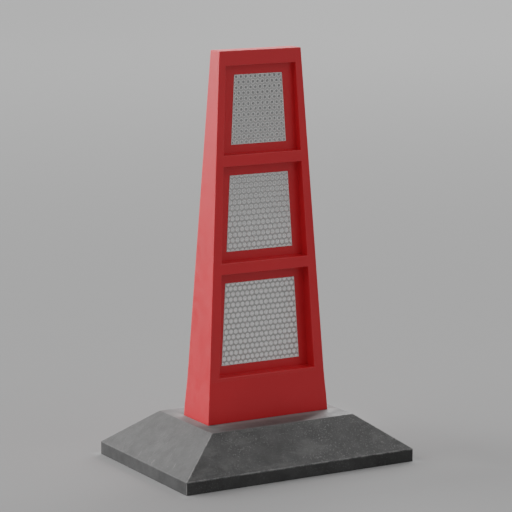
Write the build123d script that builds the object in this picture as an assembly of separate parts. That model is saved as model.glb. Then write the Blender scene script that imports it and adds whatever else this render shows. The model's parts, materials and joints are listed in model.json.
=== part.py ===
from build123d import *
import math
import os

# ---------------------------------------------------------------------------
# Flexible delineator post: a tapered two-way panel post that tips over on twin
# coil springs inside a rubber-like boot, standing on a heavy rubber base.
# Millimetres. Origin: middle of the underside of the base. X runs across the
# panel, the front face looks towards -Y, Z is up.
# ---------------------------------------------------------------------------

# Rubber base: a rectangular frustum on a vertical skirt
BASE_W, BASE_D = 500.0, 355.0
SKIRT_H = 25.0
FLAT_Z = 91.0
FLAT_W, FLAT_D = 313.0, 212.0
BASE_EDGE_R = 2.0
PAD_W, PAD_D, PAD_H = 207.4, 55.4, 4.0      # low pad inside the boot's foot

# Post: one tapered outer form, shared by the boot and the two shells
POST_Z0, POST_Z1 = 92.3, 800.0
POST_REF_Z = 92.5
POST_HW, POST_HW_SLOPE = 132.1, 0.06064     # half width at POST_REF_Z, loss per mm of height
POST_HD, POST_HD_SLOPE = 48.5, 0.04389      # half depth
POST_EDGE_R = 1.6
SHELL_T = 3.5
SEAM_Z = 172.0                              # shells start here
SEAM_GAP = 0.3

# Windows: straight-walled pockets with a sloping floor
WINDOWS = {"lower": (178.2, 376.5), "middle": (397.8, 581.9), "upper": (603.0, 772.0)}
WIN_HW_TOP, WIN_HW_Z, WIN_HW_SLOPE = 76.4, 772.0, 0.0495
LINER_T = 3.0
FLOOR_T = 5.5
FLOOR_Y, FLOOR_Z, FLOOR_SLOPE = 7.4, 753.0, 0.01776
WIN_EDGE_R = 1.0

# Reflectors, set into a shallow recess of the pocket floor
REFLECTORS = {"lower": (196.0, 355.3), "middle": (416.4, 562.1), "upper": (620.9, 753.3)}
REF_HW_TOP, REF_HW_Z, REF_HW_SLOPE = 52.0, 753.3, 0.0610
REF_PROUD = 0.6
REF_T = 1.8
BACK_T = 1.5
REF_CLEAR = 0.25

# Spring coupling
SPRING_X = 50.0
SPRING_WIRE = 6.0
SPRING_MEAN_R = 20.0
SPRING_PITCH = 6.5
LOW_PLATE_Z0, LOW_PLATE_T = 95.0, 6.0
LOW_PLATE_W, LOW_PLATE_D = 228.0, 70.0
TOP_PLATE_Z0, TOP_PLATE_T = 166.0, 6.0
TOP_PLATE_W, TOP_PLATE_D = 224.0, 72.0
PLUG_R, PLUG_H = 16.7, 16.0
PLUG_SCREW_R, PLUG_SCREW_HEAD_R = 5.0, 10.0

# Boot: flush with the post outside, spread a little at its foot (height, spread)
FLARE = ((148.0, 0.0), (118.0, 1.2), (POST_Z0, 1.05))
BOOT_T = 4.0
BOOT_TOP_T = 8.0
BOOT_FLANGE_T = 4.0
BOOT_FOOT_INSET = 3.0
BOOT_OPEN_W, BOOT_OPEN_D = 208.0, 56.0

# Base bolts M10 x 90
BOLT_X, BOLT_Y = 88.0, 18.0
BOLT_R, BOLT_HOLE_R, BOLT_L = 5.0, 5.5, 90.0
BOLT_HEAD_AF, BOLT_HEAD_H = 16.0, 6.4
CBORE_R, CBORE_TOP_Z = 17.0, 26.0
WASHER_R, WASHER_T = 15.0, 2.5
NUT_AF, NUT_H = 17.0, 10.0

# Spine: a steel flat welded to the top plate, bolted between the shells
SPINE_W, SPINE_T, SPINE_TOP_Z = 72.0, 6.0, 392.0
SPINE_BOLT_X, SPINE_BOLT_Z = 22.0, (215.0, 300.0)
SB_R, SB_HOLE_R, SB_L = 3.0, 3.3, 18.0
SB_AF, SB_HEAD_H, SB_NUT_H = 10.0, 4.0, 5.2
SB_BEAR_Y = 5.5
SB_CBORE_R, SB_BOSS_R = 7.0, 9.5

# Shell screws, driven from the rear
SHELL_SCREWS = [(55.0, 786.0), (55.0, 592.4), (55.0, 387.2), (115.0, 196.0)]
SS_R, SS_L = 2.4, 24.0
SS_HEAD_R, SS_HEAD_H = 4.6, 3.0
SS_SEAT_Y = 8.0
SS_CBORE_R, SS_BOSS_R = 4.9, 6.8

os.makedirs("parts", exist_ok=True)


# --------------------------------------------------------------- form helpers
def post_hw(z):
    return POST_HW - POST_HW_SLOPE * (z - POST_REF_Z)


def post_hd(z):
    return POST_HD - POST_HD_SLOPE * (z - POST_REF_Z)


def win_hw(z):
    return WIN_HW_TOP + WIN_HW_SLOPE * (WIN_HW_Z - z)


def ref_hw(z):
    return REF_HW_TOP + REF_HW_SLOPE * (REF_HW_Z - z)


def floor_y(z):
    """Distance of the pocket floor from the post's middle plane."""
    return FLOOR_Y + FLOOR_SLOPE * (FLOOR_Z - z)


def prism(points, direction):
    face = Face(Wire.make_polygon([Vector(*p) for p in points], close=True))
    return Part() + Solid.extrude(face, Vector(*direction))


def across(z0, hw0, z1, hw1):
    """Trapezoid seen from the front, run right through in Y."""
    return prism(
        [(-hw0, -300, z0), (hw0, -300, z0), (hw1, -300, z1), (-hw1, -300, z1)],
        (0, 600, 0),
    )


def beside(z0, near0, far0, z1, near1, far1):
    """Quadrilateral seen from the side, run right through in X."""
    return prism(
        [(-400, near0, z0), (-400, far0, z0), (-400, far1, z1), (-400, near1, z1)],
        (800, 0, 0),
    )


def frustum(z0, hw0, hd0, z1, hw1, hd1):
    return across(z0, hw0, z1, hw1) & beside(z0, -hd0, hd0, z1, -hd1, hd1)


def post_form(z0, z1, inset=0.0):
    return frustum(
        z0, post_hw(z0) - inset, post_hd(z0) - inset,
        z1, post_hw(z1) - inset, post_hd(z1) - inset,
    )


def slab(z0, z1, w=900.0, d=900.0):
    return Pos(0, 0, (z0 + z1) / 2) * Box(w, d, z1 - z0)


def along_y(r, y0, y1, x, z):
    """Round bar along Y from y0 to y1."""
    return Pos(x, (y0 + y1) / 2, z) * Rot(90, 0, 0) * Cylinder(r, abs(y1 - y0))


def rod(r, z0, z1, x=0.0, y=0.0):
    return Pos(x, y, (z0 + z1) / 2) * Cylinder(r, z1 - z0)


def hexagon(af, h):
    """Hexagon of height h from z = 0, its top corners turned down."""
    body = extrude(RegularPolygon(af / 2, 6, major_radius=False), amount=h)
    r = af / math.sqrt(3)
    turned = Pos(0, 0, h / 2) * Cylinder(r, h)
    turned = chamfer(turned.edges().sort_by(Axis.Z)[-1], (r - af / 2) * 0.62, (r - af / 2) * 1.05)
    return body & turned


def hex_bolt(r, length, af, head_h):
    """Head above z = 0, shank below it."""
    shank = Pos(0, 0, -length / 2) * Cylinder(r, length)
    shank = chamfer(shank.edges().sort_by(Axis.Z)[0], r * 0.16)
    return hexagon(af, head_h) + shank


def csk_screw(r, length, head_r):
    """Countersunk screw with its flat head at z = 0 and the shank below, with a hexagon socket."""
    head_h = head_r - r
    head = Pos(0, 0, -head_h / 2) * Cone(r, head_r, head_h)
    shank = Pos(0, 0, -length / 2) * Cylinder(r, length)
    shank = chamfer(shank.edges().sort_by(Axis.Z)[0], r * 0.16)
    socket = Pos(0, 0, -3.6) * extrude(RegularPolygon(3.0, 6, major_radius=False), amount=3.6)
    return head + shank - socket


def group(shapes, label):
    out = Compound(children=[s for shape in shapes for s in shape.solids()])
    out.label = label
    return out


def quads(x, y):
    return [(-x, -y), (x, -y), (-x, y), (x, y)]


nodes = {}

# ---------------------------------------------------------------- rubber base
skirt = slab(0, SKIRT_H, BASE_W, BASE_D)
hill = frustum(SKIRT_H, BASE_W / 2, BASE_D / 2, FLAT_Z, FLAT_W / 2, FLAT_D / 2)
base = skirt + hill
worn = [e for e in base.edges() if e.center().Z > 1.0]
base = fillet(worn, BASE_EDGE_R)
base += slab(FLAT_Z - 1.0, FLAT_Z + PAD_H, PAD_W, PAD_D)
for x, y in quads(BOLT_X, BOLT_Y):
    base -= rod(BOLT_HOLE_R, -1, FLAT_Z + PAD_H + 1, x, y)
    base -= rod(CBORE_R, -1, CBORE_TOP_Z, x, y)
nodes["rubber_base"] = base

# ----------------------------------------------------------- outer post form
outer = post_form(POST_Z0, POST_Z1)
sharp = [e for e in outer.edges() if e.center().Z > POST_Z0 + 1.0]
outer = fillet(sharp, POST_EDGE_R)

# ------------------------------------------------------------------ flex boot
boot_top = SEAM_Z - SEAM_GAP
collar_top = min(w[0] for w in WINDOWS.values()) - LINER_T - SEAM_GAP
under_flange = SEAM_Z + SEAM_GAP
boot = Part() + loft(
    [
        Pos(0, 0, z) * RectangleRounded(2 * (post_hw(z) + spread), 2 * (post_hd(z) + spread), POST_EDGE_R)
        for z, spread in (*reversed(FLARE), (boot_top, 0.0))
    ],
    ruled=True,
)
boot += post_form(FLAT_Z, POST_Z0 + 0.5, BOOT_FOOT_INSET)
boot += post_form(boot_top - 0.5, collar_top, SHELL_T + SEAM_GAP)
boot -= post_form(FLAT_Z + BOOT_FLANGE_T, 156.0, BOOT_T)
z_a, z_b = 155.9, 160.0
boot -= frustum(
    z_a, post_hw(z_a) - BOOT_T, post_hd(z_a) - BOOT_T,
    z_b, post_hw(z_b) - BOOT_TOP_T, post_hd(z_b) - BOOT_TOP_T,
)
boot -= post_form(z_b - 0.1, under_flange, BOOT_TOP_T)
boot -= slab(FLAT_Z - 5, SEAM_Z + 20, BOOT_OPEN_W, BOOT_OPEN_D)
nodes["flex_boot"] = boot

# --------------------------------------------------------------- steel plates
low_plate_z1 = LOW_PLATE_Z0 + LOW_PLATE_T
low_plate = slab(LOW_PLATE_Z0, low_plate_z1, LOW_PLATE_W, LOW_PLATE_D)
low_plate = fillet(low_plate.edges().filter_by(Axis.Z), 8.0)
for x, y in quads(BOLT_X, BOLT_Y):
    low_plate -= rod(BOLT_HOLE_R, 0, 200, x, y)
top_plate_z1 = TOP_PLATE_Z0 + TOP_PLATE_T
top_plate = slab(TOP_PLATE_Z0, top_plate_z1, TOP_PLATE_W, TOP_PLATE_D)
top_plate = fillet(top_plate.edges().filter_by(Axis.Z), 8.0)
csk_h = PLUG_SCREW_HEAD_R - PLUG_SCREW_R
csk_play = 0.1
for x in (-SPRING_X, SPRING_X):
    low_plate -= rod(PLUG_SCREW_R + 0.3, 0, 200, x)
    low_plate -= Pos(x, 0, LOW_PLATE_Z0 + csk_h / 2) * Cone(
        PLUG_SCREW_HEAD_R + csk_play, PLUG_SCREW_R + csk_play, csk_h
    )
    top_plate -= rod(PLUG_SCREW_R + 0.3, 0, 300, x)
    top_plate -= Pos(x, 0, top_plate_z1 - csk_h / 2) * Cone(
        PLUG_SCREW_R + csk_play, PLUG_SCREW_HEAD_R + csk_play, csk_h
    )
nodes["spring_base_plate"] = low_plate
nodes["spring_top_plate"] = top_plate

# ------------------------------------------------------ springs and their plugs
screw_l = LOW_PLATE_T + PLUG_H - 3.0
low_plugs, top_plugs, low_screws, top_screws = [], [], [], []
for x in (-SPRING_X, SPRING_X):
    plug = rod(PLUG_R, low_plate_z1, low_plate_z1 + PLUG_H, x)
    plug = chamfer(plug.edges().sort_by(Axis.Z)[-1], 1.5)
    plug -= rod(PLUG_SCREW_R + 0.05, low_plate_z1 - 1, LOW_PLATE_Z0 + screw_l + 1.0, x)
    low_plugs.append(plug)
    low_screws.append(
        Pos(x, 0, LOW_PLATE_Z0) * Rot(180, 0, 0) * csk_screw(PLUG_SCREW_R, screw_l, PLUG_SCREW_HEAD_R)
    )
    plug = rod(PLUG_R, TOP_PLATE_Z0 - PLUG_H, TOP_PLATE_Z0, x)
    plug = chamfer(plug.edges().sort_by(Axis.Z)[0], 1.5)
    plug -= rod(PLUG_SCREW_R + 0.05, top_plate_z1 - screw_l - 1.0, TOP_PLATE_Z0 + 1, x)
    top_plugs.append(plug)
    top_screws.append(
        Pos(x, 0, top_plate_z1) * csk_screw(PLUG_SCREW_R, screw_l, PLUG_SCREW_HEAD_R)
    )
nodes["lower_spring_plugs"] = group(low_plugs, "lower_spring_plugs")
nodes["upper_spring_plugs"] = group(top_plugs, "upper_spring_plugs")
nodes["lower_plug_screws"] = group(low_screws, "lower_plug_screws")
nodes["upper_plug_screws"] = group(top_screws, "upper_plug_screws")

end_play = 0.35
coil_z0 = low_plate_z1 + SPRING_WIRE / 2 + end_play
coil_z1 = TOP_PLATE_Z0 - SPRING_WIRE / 2 - end_play
path = Helix(SPRING_PITCH, coil_z1 - coil_z0, SPRING_MEAN_R)
wire_end = Plane(origin=path @ 0, z_dir=path % 0) * Circle(SPRING_WIRE / 2)
coil = sweep(wire_end, path=path, is_frenet=True)
nodes["spring_left"] = Pos(-SPRING_X, 0, coil_z0) * coil
nodes["spring_right"] = Pos(SPRING_X, 0, coil_z0) * coil

# ----------------------------------------------------------------- base bolts
bolts, washers, nuts = [], [], []
for x, y in quads(BOLT_X, BOLT_Y):
    bolts.append(Pos(x, y, low_plate_z1) * hex_bolt(BOLT_R, BOLT_L, BOLT_HEAD_AF, BOLT_HEAD_H))
    washers.append(
        rod(WASHER_R, CBORE_TOP_Z - WASHER_T, CBORE_TOP_Z, x, y)
        - rod(BOLT_HOLE_R, 0, 50, x, y)
    )
    nut = Rot(180, 0, 0) * hexagon(NUT_AF, NUT_H)
    nuts.append(Pos(x, y, CBORE_TOP_Z - WASHER_T) * nut - rod(BOLT_R + 0.05, 0, 50, x, y))
nodes["base_bolts"] = group(bolts, "base_bolts")
nodes["base_bolt_washers"] = group(washers, "base_bolt_washers")
nodes["base_bolt_nuts"] = group(nuts, "base_bolt_nuts")

# ---------------------------------------------------------------------- spine
spine = slab(top_plate_z1, SPINE_TOP_Z, SPINE_W, SPINE_T)
spine = fillet(
    [e for e in spine.edges().filter_by(Axis.Y) if e.center().Z > SPINE_TOP_Z - 1], 12.0
)
spine_bolts, spine_nuts = [], []
for z in SPINE_BOLT_Z:
    for x in (-SPINE_BOLT_X, SPINE_BOLT_X):
        spine -= along_y(SB_HOLE_R, -20, 20, x, z)
        turn = Pos(x, -SB_BEAR_Y, z) * Rot(90, 0, 0)
        spine_bolts.append(turn * hex_bolt(SB_R, SB_L, SB_AF, SB_HEAD_H))
        nut = Pos(x, SB_BEAR_Y, z) * Rot(-90, 0, 0) * hexagon(SB_AF, SB_NUT_H)
        spine_nuts.append(nut - along_y(SB_R + 0.05, -1, 40, x, z))
nodes["post_spine"] = spine
nodes["spine_bolts"] = group(spine_bolts, "spine_bolts")
nodes["spine_nuts"] = group(spine_nuts, "spine_nuts")

# --------------------------------------------------------------------- shells
front_space = Pos(0, -200, 500) * Box(900, 400, 1400)
skin = outer & slab(SEAM_Z, POST_Z1 + 5)
casing = skin - post_form(SEAM_Z - 10, POST_Z1 - SHELL_T, SHELL_T)
half = casing & front_space
skin_front = skin & front_space


def pocket(z0, z1, grow, deeper):
    """Window pocket grown by a wall, its floor moved towards the middle plane."""
    a, b = z0 - grow, z1 + grow
    hole = across(a, win_hw(a) + grow, b, win_hw(b) + grow)
    far0, far1 = -(floor_y(a) - deeper), -(floor_y(b) - deeper)
    return hole & beside(a, -90, far0, b, -90, far1)


def plate_at(name, clear, out, into):
    """Plate on the pocket floor, from `out` in front of the floor to `into` behind it."""
    z0, z1 = REFLECTORS[name]
    a, b = z0 - clear, z1 + clear
    flat = across(a, ref_hw(a) + clear, b, ref_hw(b) + clear)
    return flat & beside(
        a, -(floor_y(a) + out), -(floor_y(a) - into),
        b, -(floor_y(b) + out), -(floor_y(b) - into),
    )


for z0, z1 in WINDOWS.values():
    half += pocket(z0, z1, LINER_T, FLOOR_T) & skin_front
for z0, z1 in WINDOWS.values():
    half -= pocket(z0, z1, 0.0, 0.0)

# rounded window rims
rims = []
for e in half.edges():
    c = e.center()
    on_face = abs(-c.Y - post_hd(c.Z)) < 0.05
    for z0, z1 in WINDOWS.values():
        if on_face and z0 - 0.1 < c.Z < z1 + 0.1 and abs(c.X) < win_hw(c.Z) + 0.1:
            rims.append(e)
half = fillet(rims, WIN_EDGE_R)

recess_depth = REF_T - REF_PROUD + BACK_T
for name in REFLECTORS:
    half -= plate_at(name, REF_CLEAR, 0.5, recess_depth)

rear_half = mirror(half, about=Plane.XZ)

front_shell, rear_shell = half, rear_half
for z in SPINE_BOLT_Z:
    inner = floor_y(z) - FLOOR_T + 1.0
    rim = floor_y(z) - recess_depth + 1.0
    for x in (-SPINE_BOLT_X, SPINE_BOLT_X):
        front_shell += along_y(SB_BOSS_R, -inner, -SPINE_T / 2, x, z)
        front_shell -= along_y(SB_CBORE_R, -rim, -SB_BEAR_Y, x, z)
        front_shell -= along_y(SB_HOLE_R, -20, 0, x, z)
        rear_shell += along_y(SB_BOSS_R, SPINE_T / 2, inner, x, z)
        rear_shell -= along_y(SB_CBORE_R, SB_BEAR_Y, rim, x, z)
        rear_shell -= along_y(SB_HOLE_R, 0, 20, x, z)
shell_screws = []
for xs, z in SHELL_SCREWS:
    wall = post_hd(z) - SHELL_T + 1.0
    for x in (-xs, xs):
        front_shell += along_y(SS_BOSS_R - 1.4, -wall, 0, x, z)
        front_shell -= along_y(SS_R + 0.05, -(SS_L - SS_SEAT_Y) - 1.5 if wall > 20 else -13.0, 1, x, z)
        rear_shell += along_y(SS_BOSS_R, 0, wall, x, z)
        rear_shell -= along_y(SS_CBORE_R, SS_SEAT_Y, 90, x, z)
        rear_shell -= along_y(SS_R + 0.3, -1, SS_SEAT_Y + 1, x, z)
        length = SS_L if wall > 20 else SS_SEAT_Y + 12.0
        head = along_y(SS_HEAD_R, SS_SEAT_Y, SS_SEAT_Y + SS_HEAD_H, x, z)
        head = fillet(head.edges().sort_by(Axis.Y)[-1], 1.2)
        drive = Pos(x, SS_SEAT_Y + SS_HEAD_H, z)
        cross = drive * (Box(4.6, 2.8, 1.1) + Box(1.1, 2.8, 4.6))
        shank = along_y(SS_R, SS_SEAT_Y - length, SS_SEAT_Y, x, z)
        shank = chamfer(shank.edges().sort_by(Axis.Y)[0], 1.2)
        shell_screws.append(head - cross + shank)
nodes["front_shell"] = front_shell
nodes["rear_shell"] = rear_shell
nodes["shell_screws"] = group(shell_screws, "shell_screws")

# ----------------------------------------------- reflectors and backing plates
for name in REFLECTORS:
    lens = plate_at(name, 0.0, REF_PROUD, REF_T - REF_PROUD)
    back = plate_at(name, 0.0, REF_PROUD - REF_T, recess_depth)
    nodes[f"front_{name}_reflector"] = lens
    nodes[f"front_{name}_backing_plate"] = back
    nodes[f"rear_{name}_reflector"] = mirror(lens, about=Plane.XZ)
    nodes[f"rear_{name}_backing_plate"] = mirror(back, about=Plane.XZ)

for name, shape in nodes.items():
    shape.label = name
    export_step(shape, f"parts/{name}.step")
    print(name, len(shape.solids()), round(shape.volume))
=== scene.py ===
import json
import math

import bmesh
import bpy
import numpy as np
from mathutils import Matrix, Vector


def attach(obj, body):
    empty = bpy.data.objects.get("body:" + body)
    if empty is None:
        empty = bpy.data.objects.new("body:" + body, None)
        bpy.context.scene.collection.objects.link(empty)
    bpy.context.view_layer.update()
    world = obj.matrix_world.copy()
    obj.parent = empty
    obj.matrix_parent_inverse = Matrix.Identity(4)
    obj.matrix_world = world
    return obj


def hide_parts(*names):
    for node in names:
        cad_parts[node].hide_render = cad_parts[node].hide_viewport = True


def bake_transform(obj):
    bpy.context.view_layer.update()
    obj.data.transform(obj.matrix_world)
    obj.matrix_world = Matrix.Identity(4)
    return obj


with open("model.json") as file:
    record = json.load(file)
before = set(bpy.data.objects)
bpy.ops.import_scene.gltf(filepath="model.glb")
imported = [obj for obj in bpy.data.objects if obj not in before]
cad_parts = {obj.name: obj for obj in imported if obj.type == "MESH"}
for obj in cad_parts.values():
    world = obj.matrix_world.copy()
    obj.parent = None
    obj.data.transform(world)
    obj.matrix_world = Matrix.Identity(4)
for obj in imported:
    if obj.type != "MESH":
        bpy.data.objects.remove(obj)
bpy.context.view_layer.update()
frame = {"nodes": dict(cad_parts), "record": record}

scene = bpy.context.scene
nodes = frame["nodes"]
MM = 0.001

# ---------------------------------------------------------------------------
# Shared dimensions of the object, in millimetres
# ---------------------------------------------------------------------------
FLAT_Z = 91.0
POST_Z0, POST_REF_Z = 92.3, 92.5
SEAM_Z, SEAM_GAP = 172.0, 0.3
COLLAR_TOP = 174.9
WINDOWS = ((178.2, 376.5), (397.8, 581.9), (603.0, 772.0))
REFLECTORS = {"lower": (196.0, 355.3), "middle": (416.4, 562.1), "upper": (620.9, 753.3)}


def post_hw(z):
    return 132.1 - 0.06064 * (z - POST_REF_Z)


def post_hd(z):
    return 48.5 - 0.04389 * (z - POST_REF_Z)


def flare(z):
    """The boot's foot spreads a little."""
    t = min(1.0, max(0.0, (171.0 - z) / 66.0))
    return 1.15 * t * t * (3.0 - 2.0 * t)


def ref_hw(z):
    return 52.0 + 0.0610 * (753.3 - z)


def floor_y(z):
    return 7.4 + 0.01776 * (753.0 - z)


# ---------------------------------------------------------------------------
# Node material helper
# ---------------------------------------------------------------------------
class Shader:
    def __init__(self, name, at_rest=False, **values):
        self.mat = bpy.data.materials.new(name)
        self.mat.use_nodes = True
        self.tree = self.mat.node_tree
        self.tree.nodes.clear()
        self.out = self.tree.nodes.new("ShaderNodeOutputMaterial")
        self.bsdf = self.tree.nodes.new("ShaderNodeBsdfPrincipled")
        self.link(self.bsdf.outputs[0], self.out.inputs["Surface"])
        for key, value in values.items():
            self.bsdf.inputs[key.replace("_", " ").title().replace("Ior", "IOR")].default_value = value
        if at_rest:      # a piece that bends keeps its pattern: it is read at the points' places at rest
            self.pos = self.node("ShaderNodeAttribute", attribute_name="rest_position").outputs["Vector"]
        else:
            self.pos = self.node("ShaderNodeTexCoord").outputs["Object"]
        self._xyz = None

    def node(self, kind, **props):
        n = self.tree.nodes.new(kind)
        for key, value in props.items():
            setattr(n, key, value)
        return n

    def link(self, a, b):
        self.tree.links.new(a, b)

    def put(self, socket, value):
        if isinstance(value, bpy.types.NodeSocket):
            self.link(value, socket)
        elif value is not None:
            socket.default_value = value

    def math(self, op, a, b=None, c=None, clamp=False):
        n = self.node("ShaderNodeMath", operation=op, use_clamp=clamp)
        for s, v in zip(n.inputs, (a, b, c)):
            self.put(s, v)
        return n.outputs[0]

    def xyz(self):
        if self._xyz is None:
            n = self.node("ShaderNodeSeparateXYZ")
            self.link(self.pos, n.inputs[0])
            self._xyz = [n.outputs[0], n.outputs[1], n.outputs[2]]
        return self._xyz

    def scaled(self, sx, sy, sz, turn=(0, 0, 0)):
        n = self.node("ShaderNodeMapping")
        self.link(self.pos, n.inputs["Vector"])
        n.inputs["Scale"].default_value = (sx, sy, sz)
        n.inputs["Rotation"].default_value = turn
        return n.outputs[0]

    def turned(self, vector, turn, scale):
        """A vector turned, then scaled along its new axes."""
        for key, value in (("Rotation", turn), ("Scale", scale)):
            n = self.node("ShaderNodeMapping")
            self.link(vector, n.inputs["Vector"])
            n.inputs[key].default_value = value
            vector = n.outputs[0]
        return vector

    def noise(self, scale, detail=3.0, rough=0.55, vector=None, distort=0.0):
        n = self.node("ShaderNodeTexNoise")
        self.link(vector or self.pos, n.inputs["Vector"])
        n.inputs["Scale"].default_value = scale
        n.inputs["Detail"].default_value = detail
        n.inputs["Roughness"].default_value = rough
        n.inputs["Distortion"].default_value = distort
        return n.outputs["Fac"]

    def cells(self, scale, feature="F1", vector=None, out="Distance"):
        n = self.node("ShaderNodeTexVoronoi", feature=feature)
        self.link(vector or self.pos, n.inputs["Vector"])
        n.inputs["Scale"].default_value = scale
        return n.outputs[out]

    def ramp(self, value, a, b, lo=0.0, hi=1.0, smooth=True):
        n = self.node("ShaderNodeMapRange", interpolation_type="SMOOTHSTEP" if smooth else "LINEAR")
        self.put(n.inputs["Value"], value)
        for key, v in (("From Min", a), ("From Max", b), ("To Min", lo), ("To Max", hi)):
            n.inputs[key].default_value = v
        return n.outputs[0]

    def mix(self, fac, a, b, how="MIX"):
        n = self.node("ShaderNodeMix", data_type="RGBA", blend_type=how)
        self.put(n.inputs[0], fac)
        self.put(n.inputs[6], a if isinstance(a, bpy.types.NodeSocket) else (*a, 1.0))
        self.put(n.inputs[7], b if isinstance(b, bpy.types.NodeSocket) else (*b, 1.0))
        return n.outputs[2]

    def bump(self, height, distance, strength=1.0, below=None):
        n = self.node("ShaderNodeBump")
        n.inputs["Strength"].default_value = strength
        n.inputs["Distance"].default_value = distance
        self.link(height, n.inputs["Height"])
        if below is not None:
            self.link(below, n.inputs["Normal"])
        return n.outputs[0]

    def finish(self, colour=None, rough=None, normal=None):
        self.put(self.bsdf.inputs["Base Color"], colour)
        self.put(self.bsdf.inputs["Roughness"], rough)
        if normal is not None:
            self.link(normal, self.bsdf.inputs["Normal"])
        return self.mat

    def plane(self, nx, ny, nz, c):
        """nx*|x| + ny*|y| + nz*z - c, in metres: below zero inside the plane."""
        x, y, z = self.xyz()
        total = None
        for k, s, fold in ((nx, x, True), (ny, y, True), (nz, z, False)):
            if not k:
                continue
            if fold:
                s = self.math("ABSOLUTE", s)
            term = self.math("MULTIPLY", s, k)
            total = term if total is None else self.math("ADD", total, term)
        return self.math("SUBTRACT", total, c)

    def ridge(self, pairs):
        """Closeness to the edges where pairs of planes meet: zero on an edge, below it elsewhere."""
        best = None
        for a, b in pairs:
            m = self.math("MINIMUM", a, b)
            best = m if best is None else self.math("MAXIMUM", best, m)
        return best


# ---------------------------------------------------------------------------
# Materials
# ---------------------------------------------------------------------------
RED = (0.70, 0.0175, 0.0175)
RED_DEEP = (0.65, 0.0155, 0.0155)
RED_PALE = (0.72, 0.050, 0.048)
RED_SHADED = (0.618, 0.0153, 0.0153)


def post_planes(s):
    """The post's two pairs of sloping faces and its top, as distances."""
    kx, ky = 0.06064, 0.04389
    lx, ly = math.hypot(1, kx), math.hypot(1, ky)
    side = s.plane(1 / lx, 0, kx / lx, (132.1 + kx * 92.5) * MM / lx)
    face = s.plane(0, 1 / ly, ky / ly, (48.5 + ky * 92.5) * MM / ly)
    top = s.plane(0, 0, 1, 0.8)
    return side, face, top


def red_material(name, rough, grain_mm, at_rest=False, ior=1.48):
    s = Shader(name, at_rest, ior=ior)
    cloud = s.noise(9.0, 4.0, 0.55)
    colour = s.mix(s.ramp(cloud, 0.35, 0.68), RED_DEEP, RED)
    speck = s.noise(700.0, 2.0, 0.6)
    colour = s.mix(s.ramp(speck, 0.30, 0.75, 0.0, 0.10), colour, RED_PALE)
    # faint rubbed marks running across the faces
    marks = s.noise(1.0, 5.0, 0.62, s.scaled(22.0, 22.0, 150.0))
    colour = s.mix(s.ramp(marks, 0.60, 0.74, 0.0, 0.10), colour, RED_PALE)
    # moulded corners, rubbed a little paler: partly wear and partly a painted highlight
    side, face, top = post_planes(s)
    edge = s.ridge(((side, face), (side, top), (face, top)))
    nick = s.noise(260.0, 3.0, 0.6)
    rub_and_highlight = s.math("MULTIPLY", s.ramp(edge, -0.0022, -0.0004), s.ramp(nick, 0.36, 0.62))
    colour = s.mix(s.math("MULTIPLY", rub_and_highlight, 0.45), colour, RED_PALE)
    # the window pocket floors are painted darker, a painted shade in the recesses, and their rims are rubbed paler,
    # partly wear and partly a painted highlight
    kw = 0.0495
    lw = math.hypot(1, kw)
    across = s.plane(1 / lw, 0, kw / lw, (76.4 + kw * 772.0) * MM / lw)
    z = s.xyz()[2]
    window = None
    for z0, z1 in WINDOWS:
        d = s.math("MAXIMUM", across, s.math("MAXIMUM", s.math("SUBTRACT", z0 * MM, z), s.math("SUBTRACT", z, z1 * MM)))
        window = d if window is None else s.math("MINIMUM", window, d)
    # the rims: rubbed paler, partly wear and partly a painted highlight
    rim = s.math("MULTIPLY", s.ramp(s.math("ABSOLUTE", window), 0.0004, 0.0017, 1.0, 0.0), s.ramp(face, -0.0020, -0.0008))
    rim = s.math("MULTIPLY", rim, s.ramp(nick, 0.34, 0.58, 0.35, 1.0))
    colour = s.mix(s.math("MULTIPLY", rim, 0.50), colour, RED_PALE)
    # painted shade: the pocket floors are darkened in the recesses
    pocket_shade = s.math("MULTIPLY", s.ramp(face, -0.0070, -0.0015, 1.0, 0.0), s.ramp(s.noise(34.0, 4.0, 0.6), 0.3, 0.7, 0.75, 1.0))
    colour = s.mix(s.math("MULTIPLY", pocket_shade, s.ramp(window, 0.0005, 0.0030, 1.0, 0.0)), colour, RED_SHADED)
    mottled = s.noise(60.0, 4.0, 0.6)
    roughness = s.ramp(mottled, 0.3, 0.7, rough - 0.05, rough + 0.06)
    # the level top is weathered and duller
    roughness = s.math("ADD", roughness, s.ramp(top, -0.0010, -0.0002, 0.0, 0.28))
    peel = s.bump(s.noise(210.0, 2.0, 0.5), 0.00005)
    grain = s.bump(s.noise(1500.0, 2.0, 0.5), grain_mm * MM, 1.0, peel)
    return s.finish(colour, roughness, grain)


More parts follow.
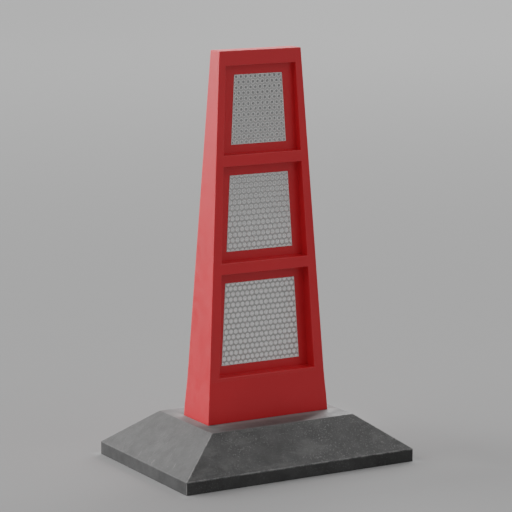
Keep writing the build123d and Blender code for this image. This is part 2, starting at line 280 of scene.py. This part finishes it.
def rubber_material():
    s = Shader("recycled_rubber", ior=1.38)
    dark, mid, pale = (0.034, 0.034, 0.034), (0.053, 0.053, 0.053), (0.16, 0.16, 0.158)
    wide = s.noise(24.0, 5.0, 0.60, None, 0.3)
    colour = s.mix(s.ramp(wide, 0.34, 0.68), dark, mid)
    granule = s.cells(330.0)
    # dust, thickest on the level top and thinner on the slopes
    geo = s.node("ShaderNodeNewGeometry")
    facing = s.node("ShaderNodeSeparateXYZ")
    s.link(geo.outputs["Normal"], facing.inputs[0])
    up = facing.outputs[2]
    sideways = s.ramp(s.math("ABSOLUTE", facing.outputs[1]), 0.2, 0.6, 0.0, 1.0)
    dusty = s.math("ADD", s.ramp(up, 0.30, 0.85, 0.0, 0.205), s.ramp(up, 0.90, 0.99, 0.0, 0.145))
    dusty = s.math("ADD", dusty, s.math("MULTIPLY", s.ramp(sideways, 0.0, 1.0, 0.06, 0.0), s.ramp(up, 0.3, 0.8)))
    dusty = s.math("ADD", dusty, s.math("MULTIPLY", sideways, s.ramp(up, 0.0, 0.3, 0.05, 0.0)))
    swing = s.ramp(s.noise(38.0, 5.0, 0.62, None, 0.5), 0.30, 0.72, -0.40, 0.35)
    drift = s.math("ADD", 1.0, s.math("MULTIPLY", swing, s.ramp(sideways, 0.0, 1.0, 0.55, 1.0)))
    colour = s.mix(s.math("MULTIPLY", dusty, drift, clamp=True), colour, (0.20, 0.20, 0.198))
    # rubbed patches, widest along the front and rear slopes
    streak = s.noise(1.0, 6.0, 0.66, s.scaled(20.0, 38.0, 38.0, (0, 0, 0.15)), 0.6)
    rubbed = s.math("MULTIPLY", s.ramp(sideways, 0.0, 1.0, 0.45, 1.0), s.ramp(up, 0.05, 0.60, 0.15, 1.0))
    colour = s.mix(s.math("MULTIPLY", s.ramp(streak, 0.48, 0.70, 0.0, 0.38), rubbed), colour, pale)
    # light crumbs, gathered in patches
    crumb = s.ramp(s.noise(300.0, 2.0, 0.6), 0.56, 0.67, 0.0, 0.95)
    patch = s.ramp(s.noise(13.0, 3.0, 0.55), 0.38, 0.62, 0.25, 1.0)
    fore = s.ramp(s.math("ABSOLUTE", facing.outputs[1]), 0.2, 0.6, 0.35, 1.0)
    colour = s.mix(s.math("MULTIPLY", s.math("MULTIPLY", crumb, patch), s.math("MULTIPLY", fore, s.ramp(up, 0.0, 0.6, 0.3, 1.0))), colour, pale)
    # thin light scratches on the end slopes
    x, y, z = s.xyz()
    folded = s.node("ShaderNodeCombineXYZ")
    for socket, value in zip(folded.inputs, (s.math("ABSOLUTE", x), y, z)):
        s.link(value, socket)
    end = s.math("MULTIPLY", s.ramp(sideways, 0.0, 1.0, 1.0, 0.0), s.math("MULTIPLY", s.ramp(up, 0.60, 0.75), s.ramp(up, 0.86, 0.92, 1.0, 0.0)))
    for lean, where, limit, across in ((0.95, 31.0, 0.630, 230.0), (0.10, 27.0, 0.650, 260.0), (1.50, 23.0, 0.640, 170.0)):
        line = s.noise(1.0, 3.0, 0.6, s.turned(folded.outputs[0], (0, math.atan2(66.0, 93.5), lean), (55.0, across, 20.0)), 0.4)
        some = s.ramp(s.noise(where, 2.0, 0.5), 0.46, 0.60)
        line = s.math("MULTIPLY", s.ramp(line, limit, limit + 0.07, 0.0, 0.62), s.math("MULTIPLY", some, end))
        colour = s.mix(line, colour, pale)
    # a pale patch painted on the level top beside the post's left foot: painted light falling there
    level = s.ramp(up, 0.90, 0.99)
    painted_light_left_foot = s.math("MULTIPLY", s.ramp(x, -0.160, -0.134, 0.20, 1.0), s.ramp(x, -0.136, -0.128, 1.0, 0.0))
    painted_light_left_foot = s.math("MULTIPLY", painted_light_left_foot, s.math("MULTIPLY", s.ramp(y, -0.062, -0.022), s.math("MULTIPLY", s.ramp(y, 0.048, 0.080, 1.0, 0.0), level)))
    colour = s.mix(s.math("MULTIPLY", painted_light_left_foot, 0.55), colour, (0.30, 0.296, 0.292))
    # before the post a pale line along the foot is partly dust and partly painted light; beyond it lies a painted
    # shadow of the post, and beyond the corner a painted lit patch
    ahead = s.math("SUBTRACT", -0.0485, y)
    skew = s.math("ADD", x, s.math("MULTIPLY", ahead, 1.43))
    before = s.math("MULTIPLY", level, s.ramp(ahead, -0.004, 0.002))
    foot_dust_and_light = s.math("MULTIPLY", s.ramp(ahead, 0.008, 0.026, 0.50, 0.0), s.math("MULTIPLY", s.ramp(x, -0.132, -0.108), s.ramp(x, 0.122, 0.134, 1.0, 0.0)))
    colour = s.mix(s.math("MULTIPLY", foot_dust_and_light, before), colour, (0.30, 0.296, 0.292))
    # painted shadow of the post on the level top
    painted_post_shadow = s.math("MULTIPLY", s.ramp(ahead, 0.018, 0.048, 0.0, 0.68), s.math("MULTIPLY", s.ramp(x, -0.160, -0.115), s.ramp(skew, 0.108, 0.138, 1.0, 0.0)))
    colour = s.mix(s.math("MULTIPLY", painted_post_shadow, before), colour, (0.045, 0.045, 0.045))
    # painted light beyond the post's right corner
    painted_lit_corner = s.math("MULTIPLY", s.ramp(skew, 0.122, 0.142, 0.0, 0.42), s.ramp(skew, 0.146, 0.176, 1.0, 0.0))
    colour = s.mix(s.math("MULTIPLY", painted_lit_corner, before), colour, (0.30, 0.298, 0.296))
    # the skirt is a little darker towards its front corners
    darker_toward_corners = s.math("MULTIPLY", s.ramp(y, -0.140, 0.000, 0.26, 0.0), s.ramp(sideways, 0.0, 1.0, 1.0, 0.0))
    darker_toward_corners = s.math("ADD", darker_toward_corners, s.math("MULTIPLY", s.ramp(x, 0.090, 0.235, 0.0, 0.40), sideways))
    colour = s.mix(s.math("MULTIPLY", darker_toward_corners, s.ramp(up, 0.05, 0.30, 1.0, 0.0)), colour, (0.010, 0.010, 0.010))
    # edges worn grey: partly wear and partly a painted highlight along the rounded edges
    slope_x = math.hypot(66.0, 93.5)
    slope_y = math.hypot(66.0, 71.5)
    left = s.plane(66.0 / slope_x, 0, 93.5 / slope_x, (66.0 * 250 + 93.5 * 25) * MM / slope_x)
    front = s.plane(0, 66.0 / slope_y, 71.5 / slope_y, (66.0 * 177.5 + 71.5 * 25) * MM / slope_y)
    flat = s.plane(0, 0, 1, FLAT_Z * MM)
    skirt_x = s.plane(1, 0, 0, 0.25)
    skirt_y = s.plane(0, 1, 0, 0.1775)
    chew = s.math("MULTIPLY", s.math("SUBTRACT", s.noise(150.0, 5.0, 0.7), 0.5), 0.003)
    broken = s.ramp(s.noise(62.0, 3.0, 0.6), 0.40, 0.58, 0.30, 1.0)
    for pairs, amount, tone in (
        (((left, flat), (front, flat), (left, skirt_x)), 0.35, (0.12, 0.12, 0.119)),
        (((left, front), (front, skirt_y), (skirt_x, skirt_y)), 0.85, (0.21, 0.21, 0.208)),
    ):
        near = s.math("MULTIPLY", s.ramp(s.math("ADD", s.ridge(pairs), chew), -0.0020, -0.0004), broken)
        colour = s.mix(s.math("MULTIPLY", near, amount), colour, tone)
    # a pale line along the rear edge of the level top: partly wear and partly a painted highlight
    brim = s.math("MULTIPLY", s.ramp(s.math("MINIMUM", front, flat), -0.0026, -0.0006), s.ramp(y, 0.0, 0.05))
    colour = s.mix(s.math("MULTIPLY", brim, 0.80), colour, (0.22, 0.22, 0.218))
    roughness = s.math("ADD", s.ramp(s.noise(45.0, 4.0, 0.6), 0.3, 0.7, 0.50, 0.62), s.ramp(up, 0.0, 0.35, 0.20, 0.0))
    # the left end of the level top is scuffed dull
    scuffed = s.math("MULTIPLY", s.ramp(x, -0.150, -0.100, 0.18, 0.0), level)
    roughness = s.math("ADD", roughness, scuffed)
    normal = s.bump(s.noise(28.0, 4.0, 0.6), 0.0004)
    normal = s.bump(granule, 0.00012, 1.0, normal)
    normal = s.bump(s.noise(900.0, 3.0, 0.6), 0.00006, 1.0, normal)
    return s.finish(colour, roughness, normal)


def reflector_cell_material():
    s = Shader("reflector_cell", metallic=1.0)
    tone = s.noise(38.0, 3.0, 0.55)
    colour = s.mix(s.ramp(tone, 0.3, 0.7), (0.875, 0.88, 0.875), (0.915, 0.915, 0.91))
    roughness = s.ramp(s.noise(120.0, 3.0, 0.6), 0.3, 0.7, 0.06, 0.10)
    return s.finish(colour, roughness, s.bump(s.noise(600.0, 2.0, 0.5), 0.00001))


def reflector_ring_material():
    s = Shader("reflector_ring", metallic=1.0)
    # a little darker towards the top: a painted reflection, the upper rings showing the darker surround they mirror
    colour = s.mix(s.ramp(s.xyz()[2], 0.28, 0.69, 0.0, 1.0, False), (0.92, 0.92, 0.915), (0.755, 0.76, 0.755))
    colour = s.mix(s.ramp(s.noise(70.0, 3.0, 0.55), 0.3, 0.7, 0.0, 0.08), colour, (0.30, 0.30, 0.30))
    roughness = s.ramp(s.noise(240.0, 3.0, 0.6), 0.3, 0.7, 0.42, 0.55)
    return s.finish(colour, roughness, s.bump(s.noise(1800.0, 2.0, 0.5), 0.00002))


def reflector_rim_material():
    s = Shader("reflector_rim", ior=1.49)
    tone = s.noise(55.0, 4.0, 0.6)
    colour = s.mix(s.ramp(tone, 0.35, 0.70), (0.80, 0.80, 0.79), (0.72, 0.72, 0.71))
    roughness = s.ramp(s.noise(200.0, 3.0, 0.6), 0.3, 0.7, 0.38, 0.50)
    return s.finish(colour, roughness, s.bump(s.noise(1500.0, 2.0, 0.5), 0.00002))


def reflector_web_material():
    s = Shader("reflector_web", metallic=1.0)
    tone = s.noise(90.0, 3.0, 0.55)
    grime = s.ramp(tone, 0.3, 0.7, 0.85, 1.15)
    # the web is painted darker low down: a painted reflection of the darker surround the lower panels mirror, under a
    # random grime tone
    height_shade_and_grime = s.math("MULTIPLY", s.ramp(s.xyz()[2], 0.27, 0.72), grime, clamp=True)
    colour = s.mix(height_shade_and_grime, (0.45, 0.45, 0.447), (0.505, 0.51, 0.505))
    roughness = s.ramp(s.noise(240.0, 3.0, 0.6), 0.3, 0.7, 0.42, 0.55)
    return s.finish(colour, roughness, s.bump(s.noise(1800.0, 2.0, 0.5), 0.00002))


def zinc_material():
    s = Shader("zinc_plate", metallic=1.0)
    flake = s.cells(160.0, "F1", None, "Color")
    tone = s.noise(60.0, 4.0, 0.6)
    colour = s.mix(s.ramp(tone, 0.3, 0.7), (0.50, 0.505, 0.51), (0.64, 0.64, 0.63))
    colour = s.mix(0.10, colour, flake, "SOFT_LIGHT")
    spot = s.noise(300.0, 4.0, 0.7)
    colour = s.mix(s.ramp(spot, 0.62, 0.75, 0.0, 0.5), colour, (0.30, 0.29, 0.28))
    roughness = s.ramp(s.noise(140.0, 3.0, 0.6), 0.3, 0.7, 0.30, 0.46)
    return s.finish(colour, roughness, s.bump(s.noise(1200.0, 2.0, 0.5), 0.00003))


def aluminium_material():
    s = Shader("mill_aluminium", metallic=1.0)
    brush = s.noise(1.0, 4.0, 0.6, s.scaled(40.0, 40.0, 2600.0))
    colour = s.mix(s.ramp(brush, 0.3, 0.7), (0.60, 0.61, 0.62), (0.76, 0.77, 0.77))
    roughness = s.ramp(brush, 0.3, 0.7, 0.26, 0.42)
    return s.finish(colour, roughness, s.bump(brush, 0.00002))


def spring_material():
    s = Shader("coated_spring_steel", ior=1.5)
    tone = s.noise(120.0, 4.0, 0.6)
    colour = s.mix(s.ramp(tone, 0.3, 0.7), (0.020, 0.020, 0.021), (0.045, 0.045, 0.046))
    chips = s.noise(520.0, 4.0, 0.7)
    colour = s.mix(s.ramp(chips, 0.66, 0.74, 0.0, 0.6), colour, (0.24, 0.20, 0.17))
    roughness = s.ramp(s.noise(260.0, 3.0, 0.6), 0.3, 0.7, 0.32, 0.50)
    return s.finish(colour, roughness, s.bump(s.noise(900.0, 3.0, 0.6), 0.00006))


shell_red = red_material("moulded_red_shell", 0.35, 0.008)
boot_red = red_material("moulded_red_boot", 0.36, 0.010, False, 1.44)
boot_skin_red = red_material("moulded_red_boot_skin", 0.36, 0.010, True, 1.44)
rubber = rubber_material()
cell_metal = reflector_cell_material()
ring_metal = reflector_ring_material()
rim_white = reflector_rim_material()
web_metal = reflector_web_material()
zinc = zinc_material()
aluminium = aluminium_material()
spring_black = spring_material()

by_slot = {
    "black_rubber": rubber,
    "red_boot": boot_red,
    "red_plastic": shell_red,
    "reflective_sheet": cell_metal,
    "aluminium_plate": aluminium,
    "zinc_steel": zinc,
    "spring_steel": spring_black,
}
for part in frame["record"]["subparts"]:
    ob = nodes[part["node"]]
    for i in range(max(1, len(ob.material_slots))):
        if not ob.material_slots:
            ob.data.materials.append(None)
        ob.material_slots[i].link = "OBJECT"
        ob.material_slots[i].material = by_slot[part["material_slot"]]


# ---------------------------------------------------------------------------
# Mesh helpers
# ---------------------------------------------------------------------------
def piece(name, bm, materials, angle=35.0):
    mesh = bpy.data.meshes.new(name)
    bmesh.ops.recalc_face_normals(bm, faces=bm.faces)
    bm.to_mesh(mesh)
    bm.free()
    mesh.shade_smooth()
    mesh.set_sharp_from_angle(angle=math.radians(angle))
    ob = bpy.data.objects.new(name, mesh)
    scene.collection.objects.link(ob)
    for m in materials:
        mesh.materials.append(m)
    return ob


def rounded_rect(hw, hd, r, per_corner=5):
    """Closed loop of points, anticlockwise seen from above."""
    pts = []
    for cx, cy, a0 in ((hw - r, hd - r, 0), (-hw + r, hd - r, 90), (-hw + r, -hd + r, 180), (hw - r, -hd + r, 270)):
        for i in range(per_corner + 1):
            a = math.radians(a0 + 90.0 * i / per_corner)
            pts.append((cx + r * math.cos(a), cy + r * math.sin(a)))
    return pts


def closed_sleeve(rings):
    """A tube of rings, joined end to start into one watertight wall. Rings are (z, points), in millimetres."""
    bm = bmesh.new()
    loops = [[bm.verts.new((x * MM, y * MM, z * MM)) for x, y in pts] for z, pts in rings]
    n = len(loops[0])
    for k in range(len(loops)):
        a, b = loops[k], loops[(k + 1) % len(loops)]
        for i in range(n):
            j = (i + 1) % n
            bm.faces.new((a[i], a[j], b[j], b[i]))
    return bm


# ---------------------------------------------------------------------------
# Flexible boot
# ---------------------------------------------------------------------------
def boot():
    rings = []

    def at(z, inset, r):
        spread = flare(z) - inset if inset < 1.0 else -inset
        rings.append((z, rounded_rect(post_hw(z) + spread, post_hd(z) + spread, r)))

    def opening(z):
        rings.append((z, rounded_rect(104.0, 28.0, 0.4)))

    foot = FLAT_Z + 0.02                    # and stands on the rubber
    opening(foot)
    at(foot, 0.4, 1.6)
    at(foot + 0.12, 0.12, 1.6)
    at(foot + 0.4, 0.0, 1.6)
    top = SEAM_Z - 0.03                     # the skin closes up to the shells
    for z in np.linspace(POST_Z0 + 2.0, top - 2.0, 44):
        at(float(z), 0.0, 1.6)
    at(top, 0.0, 1.6)
    at(top, 3.8, 0.8)
    at(COLLAR_TOP, 3.8, 0.8)
    opening(COLLAR_TOP)
    opening(SEAM_Z + SEAM_GAP)
    at(SEAM_Z + SEAM_GAP, 8.0, 0.6)
    at(160.0, 8.0, 0.6)
    for z in np.linspace(156.0, FLAT_Z + 4.0, 30):
        at(float(z), 4.0, 0.6)
    opening(FLAT_Z + 4.0)
    ob = piece("flex_boot_skin", closed_sleeve(rings), [boot_skin_red])
    places = np.empty(3 * len(ob.data.vertices), np.float32)
    ob.data.vertices.foreach_get("co", places)
    ob.data.attributes.new("rest_position", "FLOAT_VECTOR", "POINT").data.foreach_set("vector", places)
    return ob


boot_skin = boot()
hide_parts("flex_boot")
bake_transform(boot_skin)


# ---------------------------------------------------------------------------
# Coil springs
# ---------------------------------------------------------------------------
def coil(name, x0):
    radius, wire, pitch, z0, z1 = 20.0, 3.0, 6.5, 104.35, 162.65
    turns = (z1 - z0) / pitch
    steps, sides = int(turns * 44), 14
    bm = bmesh.new()
    rise = pitch / (2 * math.pi * radius)
    loops = []
    for k in range(steps + 1):
        a = 2 * math.pi * turns * k / steps
        c = Vector((radius * math.cos(a), radius * math.sin(a), z0 + (z1 - z0) * k / steps))
        out = Vector((math.cos(a), math.sin(a), 0))
        along = Vector((-math.sin(a), math.cos(a), rise)).normalized()
        up = along.cross(out)
        ring = []
        for i in range(sides):
            t = 2 * math.pi * i / sides
            p = c + wire * (math.cos(t) * out + math.sin(t) * up)
            ring.append(bm.verts.new(((p.x + x0) * MM, p.y * MM, p.z * MM)))
        loops.append(ring)
    for a, b in zip(loops, loops[1:]):
        for i in range(sides):
            j = (i + 1) % sides
            bm.faces.new((a[i], a[j], b[j], b[i]))
    bm.faces.new(loops[0][::-1])
    bm.faces.new(loops[-1])
    return piece(name, bm, [spring_black], 50)


for side, x in (("left", -50.0), ("right", 50.0)):
    ob = coil(f"spring_{side}_wire", x)
    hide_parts(f"spring_{side}")
    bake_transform(ob)


# ---------------------------------------------------------------------------
# Honeycomb reflectors
# ---------------------------------------------------------------------------
CELL_W, ROW_H = 10.396, 10.404
STRETCH = ROW_H / (CELL_W * math.sqrt(3) / 2)
APOTHEM = CELL_W / 2
RIM = 1.1
# one sheet pattern runs through the three windows: where a cell's middle lies from each panel's middle
SHEET = {"lower": (2.68, -4.91), "middle": (-1.89, -0.09), "upper": (4.00, -0.26)}
EYE_R, PAD_R = 2.85, 4.5
# height of the face above the pocket floor: a flat bright eye, a frosted ring, a bevel and a sunk web
RELIEF_R = (0.0, 1.45, EYE_R, 3.4, 4.0, PAD_R, 4.75, 6.2)
RELIEF_H = (0.60, 0.598, 0.592, 0.586, 0.574, 0.556, 0.30, 0.28)


def from_middle(u, v):
    """Distance from the nearest cell's middle, in millimetres. Rows are half a cell apart in turn."""
    best = np.full(u.shape, 1e9)
    base_row = np.round(v / ROW_H)
    for dr in (-1, 0, 1):
        row = base_row + dr
        shift = np.where(np.mod(row, 2) == 0, 0.0, CELL_W / 2)
        cx = np.round((u - shift) / CELL_W) * CELL_W + shift
        best = np.minimum(best, np.hypot(u - cx, v - row * ROW_H))
    return best


def honeycomb(name, level, side):
    z0, z1 = REFLECTORS[level]
    zc = 0.5 * (z0 + z1)
    hw0, hw1 = ref_hw(z0), ref_hw(z1)
    bm = bmesh.new()
    ou, ov = SHEET[level]
    # flat pattern: rings of points round each cell's middle, in u (across) and v (up)
    corner = [(math.sin(math.radians(60 * k)) * APOTHEM / math.cos(math.radians(30)),
               math.cos(math.radians(60 * k)) * APOTHEM / math.cos(math.radians(30)) * STRETCH) for k in range(6)]
    outline = []
    for k in range(6):
        a, b = corner[k], corner[(k + 1) % 6]
        outline += [a, ((a[0] + b[0]) / 2, (a[1] + b[1]) / 2)]
    rows = int((z1 - z0) / 2 / ROW_H) + 2
    cols = int(max(hw0, hw1) / CELL_W) + 2
    seen = {}

    def vert(u, v):
        key = (round(u, 3), round(v, 3))
        if key not in seen:
            seen[key] = bm.verts.new((u, v, 0))
        return seen[key]

    for r in range(-rows, rows + 1):
        for c in range(-cols, cols + 1):
            cu, cv = ou + c * CELL_W + (CELL_W / 2 if r % 2 else 0.0), ov + r * ROW_H
            middle = vert(cu, cv)
            last = None
            for radius in (*RELIEF_R[1:-1], None):
                scale = [radius / math.hypot(*p) if radius else 1.0 for p in outline]
                loop = [vert(cu + k * pu, cv + k * pv) for k, (pu, pv) in zip(scale, outline)]
                for i in range(12):
                    j = (i + 1) % 12
                    if last is None:
                        bm.faces.new((middle, loop[j], loop[i]))
                    else:
                        bm.faces.new((last[i], last[j], loop[j], loop[i]))
                last = loop
    # trim to the panel, just inside its sealed rim
    lean = (hw1 - hw0) / (z1 - z0)
    ln = math.hypot(1.0, lean)
    borders = [
        (Vector((0, z0 - zc, 0)), Vector((0, -1, 0))),
        (Vector((0, z1 - zc, 0)), Vector((0, 1, 0))),
        (Vector((hw0, z0 - zc, 0)), Vector((1, -lean, 0)) / ln),
        (Vector((-hw0, z0 - zc, 0)), Vector((-1, -lean, 0)) / ln),
    ]
    for p, n in borders:
        bmesh.ops.bisect_plane(
            bm, geom=bm.verts[:] + bm.edges[:] + bm.faces[:], dist=1e-5,
            plane_co=p - n * 0.4, plane_no=n, clear_outer=True,
        )
    bmesh.ops.remove_doubles(bm, verts=bm.verts, dist=0.005)
    bm.verts.ensure_lookup_table()
    uv = np.array([(v.co.x, v.co.y) for v in bm.verts])
    h = np.interp(from_middle(uv[:, 0] - ou, uv[:, 1] - ov), RELIEF_R, RELIEF_H)
    mid = np.array([f.calc_center_median()[:2] for f in bm.faces])
    for f, d in zip(bm.faces, from_middle(mid[:, 0] - ou, mid[:, 1] - ov)):
        f.material_index = 0 if d < EYE_R else 2 if d < PAD_R else 1
    # stand the sheet up on the pocket floor, then close its sides and back
    sign = -1.0 if side == "front" else 1.0
    for v, (u, w), up in zip(bm.verts, uv, h):
        z = zc + w
        v.co = (u * MM, sign * (floor_y(z) + up) * MM, z * MM)
    rim = [e for e in bm.edges if e.is_boundary]
    wall = bmesh.ops.extrude_edge_only(bm, edges=rim)["geom"]
    for v in (g for g in wall if isinstance(g, bmesh.types.BMVert)):
        z = v.co.z / MM
        v.co.y = sign * (floor_y(z) - 1.2) * MM
    back = [e for e in bm.edges if e.is_boundary]
    bmesh.ops.contextual_create(bm, geom=back)
    for f in bm.faces:
        if len(f.verts) > 4:
            f.material_index = 1
    bmesh.ops.triangulate(bm, faces=[f for f in bm.faces if len(f.verts) > 4])
    # sealed rim: a mitred frame over the cut cells
    loops = []
    for inset, up in ((0.0, -1.2), (0.0, 0.50), (0.18, 0.72), (RIM - 0.18, 0.72), (RIM, 0.56), (RIM, -1.2)):
        loop = []
        for sx, z, top in ((-1, z0, 1), (1, z0, 1), (1, z1, -1), (-1, z1, -1)):
            zz = z + top * inset
            half = hw0 + lean * (zz - z0) - inset * ln
            loop.append(bm.verts.new((sx * half * MM, sign * (floor_y(zz) + up) * MM, zz * MM)))
        loops.append(loop)
    for k in range(len(loops)):
        a, b = loops[k], loops[(k + 1) % len(loops)]
        for i in range(4):
            j = (i + 1) % 4
            bm.faces.new((a[i], a[j], b[j], b[i])).material_index = 3
    return piece(name, bm, [cell_metal, web_metal, ring_metal, rim_white], 30)


for side in ("front", "rear"):
    for level in REFLECTORS:
        ob = honeycomb(f"{side}_{level}_honeycomb", level, side)
        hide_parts(f"{side}_{level}_reflector")
        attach(ob, "post")


# ---------------------------------------------------------------------------
# Floor, light and camera
# ---------------------------------------------------------------------------
def stage_floor():
    s = Shader("studio_floor", roughness=1.0, specular_ior_level=0.0)
    tone = s.noise(1.3, 4.0, 0.5)
    colour = s.mix(s.ramp(tone, 0.3, 0.7), (0.275, 0.275, 0.275), (0.279, 0.279, 0.279))
    # painted light: the ground is painted paler slowly towards the back of the studio, standing for the sheen of the
    # far floor
    x, y, z = s.xyz()
    deep = s.math("ADD", s.math("MULTIPLY", x, 0.5), s.math("MULTIPLY", y, 0.866))
    colour = s.mix(s.ramp(deep, -1.0, 0.9, 0.0, 1.0, False), colour, (0.295, 0.295, 0.295))
    colour = s.mix(s.ramp(deep, 0.8, 9.5), colour, (0.405, 0.405, 0.405))
    # less so to the far left
    aside = s.math("SUBTRACT", s.math("MULTIPLY", x, 0.866), s.math("MULTIPLY", y, 0.5))
    colour = s.mix(s.math("MULTIPLY", s.ramp(deep, 3.5, 11.0), s.ramp(aside, -1.6, 0.9, 0.085, 0.0)), colour, (0.0, 0.0, 0.0))
    # and is painted a little paler close round the base: painted light that lifts the contact shadow there
    out = s.math("MAXIMUM", s.math("SUBTRACT", s.math("ABSOLUTE", x), 0.25), s.math("SUBTRACT", s.math("ABSOLUTE", y), 0.1775))
    painted_light_round_base = s.math("MULTIPLY", s.ramp(out, 0.03, 0.17, 0.10, 0.0), s.ramp(x, -0.25, -0.08, 0.2, 1.0))
    painted_light_round_base = s.math("ADD", s.ramp(out, 0.0, 0.022, 0.22, 0.0), painted_light_round_base)
    s.finish(s.mix(painted_light_round_base, colour, (0.56, 0.56, 0.56)))
    bm = bmesh.new()
    bmesh.ops.create_grid(bm, x_segments=1, y_segments=1, size=60.0)
    ob = piece("floor", bm, [s.mat])
    return ob


floor = stage_floor()


def stage_flag():
    """A graded card out of view in front, darkest at the top, which the reflectors mirror."""
    s = Shader("graded_card", roughness=0.9, specular_ior_level=0.0)
    z = s.xyz()[2]
    tone = s.mix(s.ramp(z, 0.0, 0.48), (0.218, 0.218, 0.218), (0.085, 0.085, 0.085))
    s.finish(s.mix(s.ramp(z, 0.46, 0.62), tone, (0.067, 0.067, 0.067)))
    bm = bmesh.new()
    out = Vector((0.497, -0.868, 0.0))
    across = Vector((0.868, 0.497, 0.0))
    corners = [out * 2.5 + across * u + Vector((0, 0, z)) for u, z in ((-0.30, 0.002), (0.30, 0.002), (0.30, 0.72), (-0.30, 0.72))]
    bm.faces.new([bm.verts.new(c) for c in corners])
    ob = piece("graded_card", bm, [s.mat])
    ob.visible_camera = False
    return ob


flag = stage_flag()

world = bpy.data.worlds.new("studio")
scene.world = world
world.use_nodes = True
wt = world.node_tree
wt.nodes.clear()
w_out = wt.nodes.new("ShaderNodeOutputWorld")
w_bg = wt.nodes.new("ShaderNodeBackground")
wt.links.new(w_bg.outputs[0], w_out.inputs[0])
w_dir = wt.nodes.new("ShaderNodeTexCoord").outputs["Generated"]


def w_math(op, a, b=None):
    n = wt.nodes.new("ShaderNodeMath")
    n.operation = op
    for s, v in zip(n.inputs, (a, b)):
        if isinstance(v, bpy.types.NodeSocket):
            wt.links.new(v, s)
        elif v is not None:
            s.default_value = v
    return n.outputs[0]


def glow(compass, height, width_deg, power):
    """A soft patch of light. Compass is in degrees from +Y towards +X, height in degrees above the floor."""
    c, h = math.radians(compass), math.radians(height)
    direction = (math.sin(c) * math.cos(h), math.cos(c) * math.cos(h), math.sin(h))
    n = wt.nodes.new("ShaderNodeVectorMath")
    n.operation = "DOT_PRODUCT"
    wt.links.new(w_dir, n.inputs[0])
    n.inputs[1].default_value = Vector(direction).normalized()
    k = 1.0 / (1.0 - math.cos(math.radians(width_deg)))
    return w_math("MULTIPLY", w_math("EXPONENT", w_math("MULTIPLY", w_math("SUBTRACT", n.outputs["Value"], 1.0), k)), power)


GLOWS = [
    (300, 4, 16, 8.2),
    (330, 4, 16, 5.9),
    (300, 22, 18, 7.1),
    (330, 22, 18, 2.8),
    (270, 4, 16, 1.1),
    (270, 22, 18, 1.5),
    (270, 45, 20, 1.9),
    (0, 45, 20, 0.7),
    (0, 75, 24, 0.5),
    (30, 4, 16, 0.45),
    (30, 22, 18, 4.2),
    (60, 4, 16, 1.9),
    (60, 22, 18, 5.6),
    (45, 45, 20, 3.1),
    (135, 45, 20, 1.35),
    (150, 4, 16, 0.7),
    (150, 22, 18, 0.5),
    (180, 45, 20, 0.85),
]
total = None
for g in GLOWS:
    lobe = glow(*g)
    total = lobe if total is None else w_math("ADD", total, lobe)
wt.links.new(w_math("ADD", total, 0.04), w_bg.inputs["Strength"])

cam_data = bpy.data.cameras.new("camera")
cam_data.lens, cam_data.sensor_width = 170.25, 36.0
cam = bpy.data.objects.new("camera", cam_data)
scene.collection.objects.link(cam)
az, el, dist = math.radians(-30.0), math.radians(10.06), 4.666
back = Vector((math.sin(az) * math.cos(el), -math.cos(az) * math.cos(el), math.sin(el)))
cam.location = Vector((0, 0, 0.4)) + back * dist
cam.rotation_mode = "QUATERNION"
cam.rotation_quaternion = (-back).to_track_quat("-Z", "Y")
cam_data.clip_start, cam_data.clip_end = 0.05, 200.0
scene.camera = cam
scene.view_settings.view_transform = "Filmic"
scene.view_settings.look = "None"
